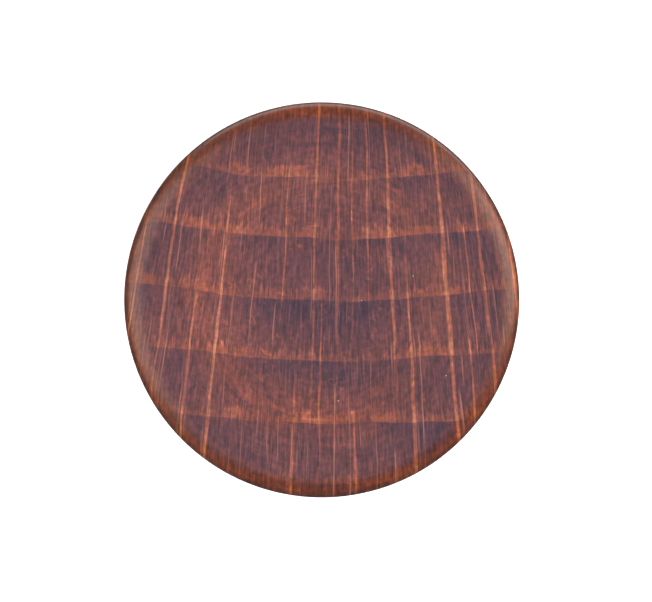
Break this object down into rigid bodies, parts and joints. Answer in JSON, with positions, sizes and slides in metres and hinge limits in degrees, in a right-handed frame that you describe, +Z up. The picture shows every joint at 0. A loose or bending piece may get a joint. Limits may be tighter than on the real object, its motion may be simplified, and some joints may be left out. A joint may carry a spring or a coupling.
{
  "type": "offering plate",
  "caption": "Round turned wooden plate with a rounded edge, a shallow well and a felted foot ring, for passing and collecting offerings.",
  "frame": {"origin": "on the axis of the plate, at the height of what it stands on, so at the middle of the foot felt's underside", "axes": "+Z up along the axis, out of the well; the plate is round, so +X and +Y are any two directions across it, with the wood's rays running along Y"},
  "size_m": [0.254, 0.254, 0.026],
  "materials": {
    "plate_wood": "dark red-brown mahogany stain on a ring-porous hardwood with bold rays, satin varnish",
    "foot_wood": "the same stain and satin varnish on a turned ring",
    "felt": "dark green pressed wool felt"
  },
  "bodies": {
    "root": {"plate": "plate_wood", "foot_ring": "foot_wood", "base_felt": "felt", "foot_felt": "felt"}
  },
  "joints": []
}
